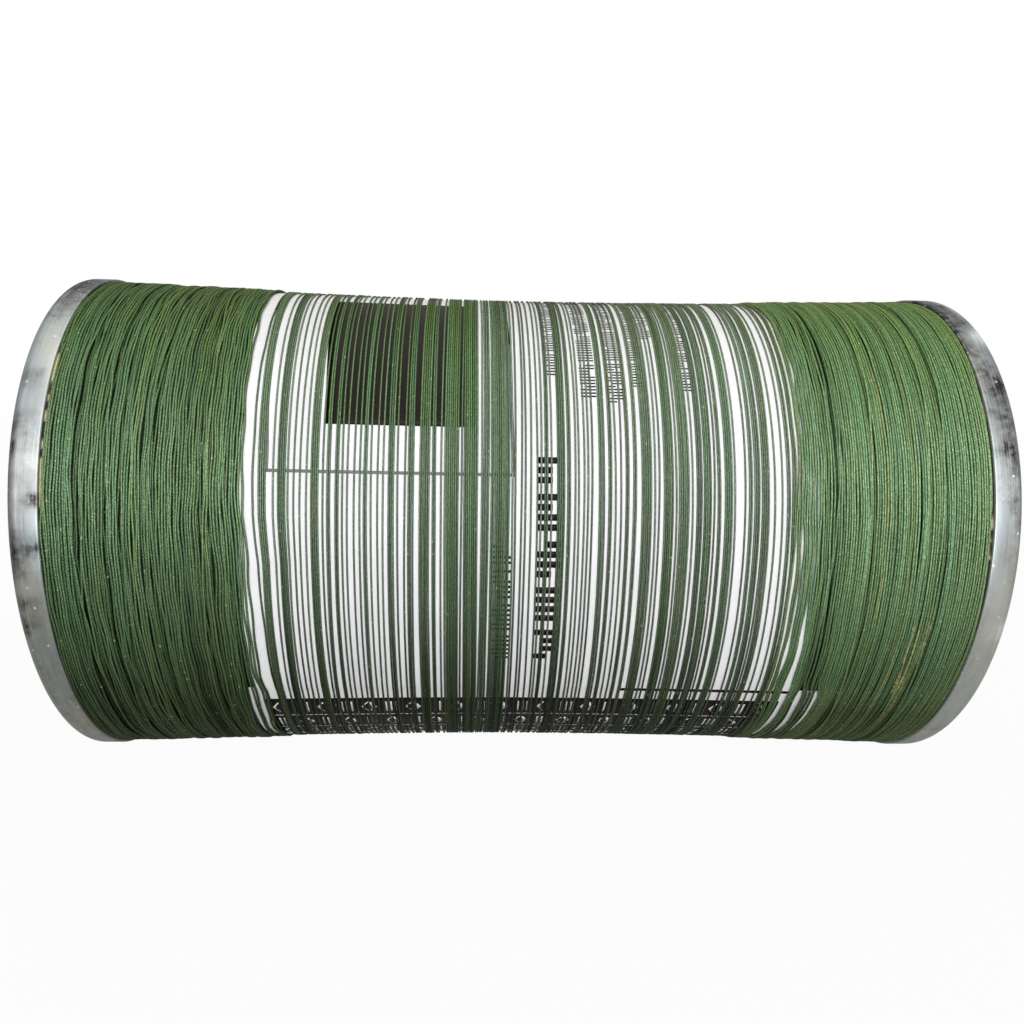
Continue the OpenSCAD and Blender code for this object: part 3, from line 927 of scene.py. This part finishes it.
def ornamentPatches():
    # lozenges in turn with three bars, each row half a step on from the one above
    patches = []
    first, last = ornament["x"]
    cell, deep, thin = ornament["cell"], ornament["row"], ornament["thin"]
    begin, end = ornament["part"]
    lozengeInset, barInset = ornament["inset"]
    ruleWide, ruleFree = ornament["rule"]
    top, half = ornament["top"], cell * ornament["lozenge"]
    for row in range(ornament["rows"]):
        high, low = top + deep * (row + begin), top + deep * (row + end)
        for i in range(int((last - first) / cell)):
            x = first + ornament["margin"] + i * cell + cell / 2
            if (i + row) % 2 == 0:
                for side in (-1, 1):
                    patches.append(flatPatch([(x + side * thin, high + lozengeInset),
                                              (x + side * thin, low - lozengeInset),
                                              (x + side * half, (high + low) / 2)], 2))
            else:
                for k in (-1, 0, 1):
                    bar = x + k * cell * ornament["barStep"]
                    patches.append(sheetPatch(bar - thin, bar + thin, high + barInset, low - barInset, 2))
        rule = top + deep * (row + 1)
        patches.append(sheetPatch(first + ruleFree, last - ruleFree, rule - ruleWide, rule, 2))
    return patches


def buildPrint():
    black, grey = [sheetPatch(*block["x"], *block["a"])], []
    left, right = ruled["x"]
    top, bottom = ruled["a"]
    wide = ruled["width"]
    perMm = math.degrees(mm / rimRadius)
    for side in ((left, left + wide), (right - wide, right)):
        black.append(sheetPatch(*side, top, ruled["blackTo"]))
        grey.append(sheetPatch(*side, ruled["blackTo"], bottom))
    grey.append(sheetPatch(left, right, bottom - wide * perMm, bottom))
    # the cut edge at the seam: its painted shadow, printed on the sheet's start
    seam = label["seam"] - facing + label["seamGap"]
    for (start, stop, width), patches in ((seamShadow["light"], grey), (seamShadow["dark"], black)):
        patches.append(sheetPatch(start, stop, seam, seam + width * perMm))
    for row in barRows:
        black += barPatches(*row)
    top = ornament["top"]
    black.append(sheetPatch(*ornament["x"], top, top + ornament["row"] * ornament["rows"]))
    sheetPiece("labelRulesAndShadow", grey, greyInkAndShadow)
    sheetPiece("labelPrintAndShadow", black, blackInkAndShadow)
    sheetPiece("labelOrnament", ornamentPatches(), whiteInk)
    print("label printed")


buildLabel()
buildPrint()


# sizes in mm
flange = dict(sheet=1.0, curl=1.3, corner=0.2, beadInset=4.8, beadOuter=1.6, beadInner=0.6,
              fold=0.7, holeRound=0.25)
liner = dict(play=0.05, edgeRound=0.05)
hub = dict(bore=8.0, coreWall=2.2, sleeveWall=2.0, lip=1.4, lipRound=0.6, plateDepth=3.0, plate=1.6,
           ribs=6, rib=1.4, ribDrop=0.8, ribRound=0.4, ribSink=0.3, fitGap=0.05, mouldRound=0.25)
startHole = dict(radius=0.9, fromTube=3.2, sides=24, reach=2)  # for the line's inner end

# painted dark reflections and, with a strength below zero, painted highlights and a few scratches on
# the rims, as (below, share of the rim's width from the line outwards, mm round the rim, mm across
# it, strength)
rimPaintedReflections = dict(
    left=[(1.5, 0.2, 1, 0.7, 2), (11.2, 0.2, 0.9, 0.8, 1.6), (12, 0.8, 2.4, 1.1, 0.7),
          (17.5, 0.65, 1, 1.2, 0.15), (22.5, 0.7, 0.9, 1.2, 0.55), (27, 0.75, 1.4, 0.7, 0.45),
          (-24.2, 0.74, 1.4, 0.6, 0.55), (-13.4, 0.77, 2, 0.7, 0.7), (-8.5, 0.82, 1, 0.6, 0.7),
          (-62, 0.4, 10, 3, 0.5), (-66, 0.8, 8, 1.8, 0.4), (42, 0.5, 14, 4, 0.27),
          (-54, 0.5, 9, 4, 0.3), (-48, 0.5, 1, 0.25, -1.6), (-52, 0.35, 0.3, 0.9, -1.2)],
    right=[(-54, 0.1, 14, 1.7, 0.95), (-27.3, 0.75, 1.7, 0.8, 0.65), (-26, 0.5, 1.5, 1, 0.35),
           (-20, 0.6, 2.2, 2, 0.3), (-12.5, 0.65, 3.6, 1, 0.45), (-4, 0.95, 0.6, 0.35, 0.8),
           (-8, 0.95, 0.8, 0.35, 0.5), (3, 0.92, 1.4, 0.35, 0.4), (-3, 0.6, 10, 1.1, 0.55),
           (-42, 0.45, 13, 3.2, 0.22), (-43, 0.75, 1.6, 0.5, -1.8), (33, 0.5, 14, 4, -0.3),
           (27, 0.8, 1.3, 0.7, -0.8), (20, 0.2, 1.6, 0.4, -0.8)],
    fade=0.3,  # mm from painted to none, on the way in to the end face
    fades=5,  # such steps inside the rim's radius to where there is none
)
# stretches of a liner's edge that stay light, as (from, to) below; everywhere else it is darker
linerEdges = dict(
    left=[(-54, -47), (-31.5, -23.4), (-20.8, -18.8), (-17.3, -14.3), (-10.8, -8.3), (-7.2, 3.5)],
    right=[(-23.5, -18.5), (2, 5), (6.7, 7.8), (10, 11.5)],
    fade=0.8,  # degrees
    darkening=0.75,
)


def reflectionsOf(name):
    # painted reflections: the sum of bell-shaped spots, exp(-u^2 - v^2) at u round the rim and v across
    # it
    def reflections(x, angle, radius):
        below = belowFacing(angle)
        out = (np.abs(x) - webX) / (halfLength - webX)
        total = 0
        for at, share, long, wide, strength in rimPaintedReflections[name]:
            u = np.radians(below - at) * rimRadius / (long * mm)
            v = (out - share) * (halfLength - webX) / (wide * mm)
            total = total + strength * np.exp(-u ** 2 - v ** 2)
        # none on the end face, inside the curled edge
        inwards = (radius - rimRadius) / (rimPaintedReflections["fade"] * mm)
        return total * np.clip(inwards + rimPaintedReflections["fades"], 0, 1)
    return reflections


def darkeningOf(name):
    # all darker, apart from the light stretches
    def darkening(x, angle, radius):
        below = belowFacing(angle)
        undarkened = np.zeros(np.broadcast(x, angle).shape)
        for start, stop in linerEdges[name]:
            undarkened = np.maximum(undarkened, within(below, start, stop, linerEdges["fade"]))
        return linerEdges["darkening"] - linerEdges["darkening"] * undarkened
    return darkening


def cutStartHole(piece, side):
    # the hole that the inner end of the line is tied through, beside the hub
    size, sides = inMetres(startHole), startHole["sides"]
    radius, reach = size["radius"], size["reach"]
    angles = np.arange(sides) * 2 * np.pi / sides
    rows = [np.stack([np.full(sides, side * x), radius * np.cos(angles),
                      -(tubeRadius + size["fromTube"]) + radius * np.sin(angles)], axis=1)
            for x in (webX - reach, webX + reach)]
    cutter = meshPiece("cutter", np.concatenate(rows), tubeFaces(2, sides)[:2])
    hole = piece.modifiers.new("hole", "BOOLEAN")
    hole.operation, hole.solver, hole.object = "DIFFERENCE", "EXACT", cutter
    ready = piece.evaluated_get(bpy.context.evaluated_depsgraph_get())
    piece.data = bpy.data.meshes.new_from_object(ready)
    piece.modifiers.clear()
    bpy.data.objects.remove(cutter)


def inMetres(sizes):
    return {key: value * mm for key, value in sizes.items()}


def flangeProfile():
    # outline of the pressed sheet: inner face with the bead's groove, rim, curled edge, outer face
    size = inMetres(flange)
    sheet, curl, corner, outer = size["sheet"], size["curl"], size["corner"], size["beadOuter"]
    rounding, fold = size["holeRound"], size["fold"]
    bead = rimRadius - size["beadInset"]
    face = webX + sheet
    points = arc(webX + rounding, tubeBore + rounding, rounding, 270, 180, 4)
    points += arc(webX, bead, size["beadInner"], -90, 90, 10)
    points += arc(webX + corner, rimRadius - corner, corner, 180, 90, 5)
    meet = math.degrees(math.asin((curl - sheet) / curl))
    points += arc(halfLength - curl, rimRadius - curl, curl, 90, -180 - meet, 32)
    points += arc(face + fold, rimRadius - sheet - fold, fold, 90, 180, 6)
    lean = math.degrees(math.acos(sheet / outer))
    points += arc(webX, bead, outer, lean, -lean, 12)
    points += arc(face - rounding, tubeBore + rounding, rounding, 0, -90, 4)
    return points


def linerProfile():
    # a flat ring on the barrel, its outer edges rounded
    low, r = tubeRadius + liner["play"] * mm, liner["edgeRound"] * mm
    return rounded([(linerLow.x, low, 0), (linerLow.x, linerHigh.z, r),
                    (linerHigh.x, linerHigh.z, r), (linerHigh.x, low, 0)])


def hubProfile():
    # outline of a hub: core, pocket, sleeve, lip, then back along the sleeve and under the plate
    size = inMetres(hub)
    sleeve = tubeBore - size["fitGap"]
    sleeveBore = sleeve - size["sleeveWall"]
    core = size["bore"] + size["coreWall"]
    face, lip, end = hubHigh.x, hubHigh.z, hubLow.x
    lipBack = face - size["lip"]
    top = face - size["plateDepth"]
    under = top - size["plate"]
    r = size["mouldRound"]
    return rounded([
        (face, size["bore"], 2 * r), (face, core, r), (top, core, r), (top, sleeveBore, r),
        (face, sleeveBore, r), (face, lip, size["lipRound"]), (lipBack, lip, 0), (lipBack, sleeve, 0),
        (end, sleeve, 2 * r), (end, sleeveBore, r), (under, sleeveBore, r), (under, core, r),
        (end, core, r), (end, size["bore"], r)])


def buildRibs(name, side):
    # ribs of the hub: thin plates that stand on its inner plate, from the core to the sleeve
    size = inMetres(hub)
    half, r, sink = size["rib"] / 2, size["ribRound"], size["ribSink"]
    low = size["bore"] + size["coreWall"] - sink
    high = tubeBore - size["fitGap"] - size["sleeveWall"] + sink
    x0 = hubHigh.x - size["plateDepth"] - sink
    x1 = hubHigh.x - size["ribDrop"]
    x, y = np.array(rounded([(x0, -half, 0), (x1, -half, r), (x1, half, r), (x0, half, 0)], 4)).T
    ribFaces, ribEnds, _ = tubeFaces(2, len(x))
    points, faces, ends = [], [], []
    for i in range(hub["ribs"]):
        cos, sin = math.cos(2 * math.pi * i / hub["ribs"]), math.sin(2 * math.pi * i / hub["ribs"])
        points += [np.stack([side * x, y * cos - z * sin, y * sin + z * cos], axis=1) for z in (low, high)]
        faces.append(ribFaces + 2 * i * len(x))
        ends.append(ribEnds + 2 * i * len(x))
    piece = meshPiece(name, np.concatenate(points), [np.concatenate(faces), np.concatenate(ends)])
    return dress(piece, nylon, sharp=40)


def buildEnds():
    # each outline is turned about the axis, and mirrored for the left end
    for side, name in ((1, "right"), (-1, "left")):
        flangeOutline, linerOutline, hubOutline = (
            [(side * x, r) for x, r in make()] for make in (flangeProfile, linerProfile, hubProfile))
        # the spot attribute holds the rim's painted reflections and highlights
        piece = lathe(name + "Rim", flangeOutline, {"spot": reflectionsOf(name)}, 512)
        cutStartHole(piece, side)
        dress(piece, aluminium, [name + "_flange"], sharp=35)
        piece = lathe(name + "Liner", linerOutline, {"darkening": darkeningOf(name)}, 512)
        cutStartHole(piece, side)
        dress(piece, linerBoard, [name + "_liner"], sharp=35)
        piece = lathe(name + "Hub", hubOutline, steps=160)
        dress(piece, nylon, [name + "_hub"], sharp=35)
        buildRibs(name + "HubRibs", side)
    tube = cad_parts["barrel_tube"]
    tube.data.materials.clear()
    tube.data.materials.append(tubeBoard)
    print("ends built")


buildEnds()


studio = dict(
    floorColour="#b4b4b0",
    floorSize=8.0,
    floorWhite=(0.96, 1.0),  # share of plain white that the camera sees, near the spool and far off
    floorShine=0.05,  # the same for mirrored rays
    skyWarm=(1.0, 0.96, 0.84),
    skyForLight=(0.2, 0.9),  # from the front and from behind
    skyForShine=(0.3, 0.68),  # at the horizon and overhead
)

# lamps, each with its place, power, size and colour
lamps = dict(
    key=((0.03, -0.385, 0.32), 1.03, 0.36, (0.96, 0.99, 1.0)),
    front=((0.0, -0.485, 0.12), 0.84, 0.28, (1.0, 1.0, 1.0)),
    side=((0.45, -0.20, 0.11), 0.39, 0.42, (0.97, 1.0, 1.0)),
    left=((-0.215, -0.33, 0.31), 0.10, 0.20, (0.94, 0.97, 1.0)),
    top=((0.0, 0.02, 0.60), 0.96, 0.60, (1.0, 0.98, 0.86)),
)


def buildFloor():
    # matt paint, which the camera sees as nearly white, and mirrored rays with a small share of white
    half = studio["floorSize"] / 2
    corners = [(-half, -half), (half, -half), (half, half), (-half, half)]
    mesh = bpy.data.meshes.new("floor")
    mesh.from_pydata([(x, y, -rimRadius) for x, y in corners], [], [(0, 1, 2, 3)])
    floor = bpy.data.objects.new("floor", mesh)
    bpy.context.scene.collection.objects.link(floor)
    material, add, _, place = startMaterial(
        "floorPaint", Base_Color=studio["floorColour"], Roughness=0.9, Specular_IOR_Level=0.1)
    nodes = material.node_tree.nodes
    rays = add("LightPath").node.outputs
    away = add("VectorMath", {0: place}, operation="LENGTH")
    near, far = studio["floorWhite"]
    plain = add("MapRange", {0: away, 1: 0.08, 2: 0.4, 3: near, 4: far})
    seen = add("Math", {0: rays["Is Camera Ray"], 1: plain}, operation="MULTIPLY")
    other = add("Math", {0: rays["Is Glossy Ray"], 1: rays["Is Transmission Ray"]}, operation="MAXIMUM")
    other = add("Math", {0: other, 1: studio["floorShine"]}, operation="MULTIPLY")
    share = add("Math", {0: seen, 1: other}, operation="MAXIMUM")
    white = add("Emission", {"Color": (1, 1, 1, 1), "Strength": 1.0})
    mixed = add("MixShader", {0: share, 1: nodes["Principled BSDF"].outputs[0], 2: white})
    feed(material.node_tree, nodes["Material Output"], {"Surface": mixed})
    mesh.materials.append(material)


def buildWorld():
    # the camera sees plain white; what lights the object and what it mirrors have their own levels
    world = bpy.data.worlds.new("studio")
    bpy.context.scene.world = world
    world.use_nodes = True
    tree = world.node_tree
    add = functools.partial(addNode, tree)
    rays = add("LightPath").node.outputs
    other = add("Math", {0: rays["Is Glossy Ray"], 1: rays["Is Transmission Ray"]}, operation="MAXIMUM")
    direction = add("SeparateXYZ", {0: add("TexCoord")}).node.outputs
    low, high = studio["skyForShine"]
    shine = add("MapRange", {0: direction["Z"], 1: 0.1, 2: 0.8, 3: low, 4: high})
    front, behind = studio["skyForLight"]
    light = add("MapRange", {0: direction["Y"], 1: 0.3, 2: 0.9, 3: front, 4: behind})
    strength = add("MapRange", {0: other, 3: light, 4: shine})
    strength = add("Math", {0: rays["Is Camera Ray"], 1: strength}, operation="MAXIMUM")
    seen = add("Math", {0: rays["Is Camera Ray"], 1: other}, operation="MAXIMUM")
    colour = add("Mix", {0: seen, 6: (*studio["skyWarm"], 1.0), 7: (1, 1, 1, 1)}, data_type="RGBA")
    feed(tree, tree.nodes["Background"], {"Color": colour, "Strength": strength})


def addLamp(name, place, power, size, colour):
    lamp = bpy.data.lights.new(name, "AREA")
    lamp.energy, lamp.color, lamp.size = power, colour, size
    light = bpy.data.objects.new(name, lamp)
    light.location = place
    light.rotation_euler = (-Vector(place)).to_track_quat("-Z", "Y").to_euler()
    bpy.context.scene.collection.objects.link(light)


def buildCamera():
    elevation, yaw, roll = (math.radians(view[k]) for k in ("elevation", "yaw", "roll"))
    # columns: right, down and ahead of a camera that looks level along the spool's front
    level = Matrix(((1, 0, 0),
                    (0, -math.sin(elevation), math.cos(elevation)),
                    (0, -math.cos(elevation), -math.sin(elevation))))
    turned = Matrix.Rotation(roll, 3, "Z") @ Matrix.Rotation(yaw, 3, "Y")
    offset = Vector(view["offset"]) * rimRadius
    place = level @ (turned.transposed() @ -offset)
    axes = level @ turned.transposed() @ Matrix.Diagonal((1, -1, -1))
    data = bpy.data.cameras.new("camera")
    data.lens, data.sensor_width = view["lens"], view["sensor"]
    data.shift_x, data.shift_y = view["shift"]
    data.clip_start, data.clip_end = 0.01, 20
    camera = bpy.data.objects.new("camera", data)
    bpy.context.scene.collection.objects.link(camera)
    camera.matrix_world = Matrix.Translation(place) @ axes.to_4x4()
    bpy.context.scene.camera = camera


buildFloor()
buildWorld()
for name, values in lamps.items():
    addLamp(name + "Lamp", *values)
buildCamera()
bpy.context.scene.view_settings.view_transform = "Standard"
print("stage set")
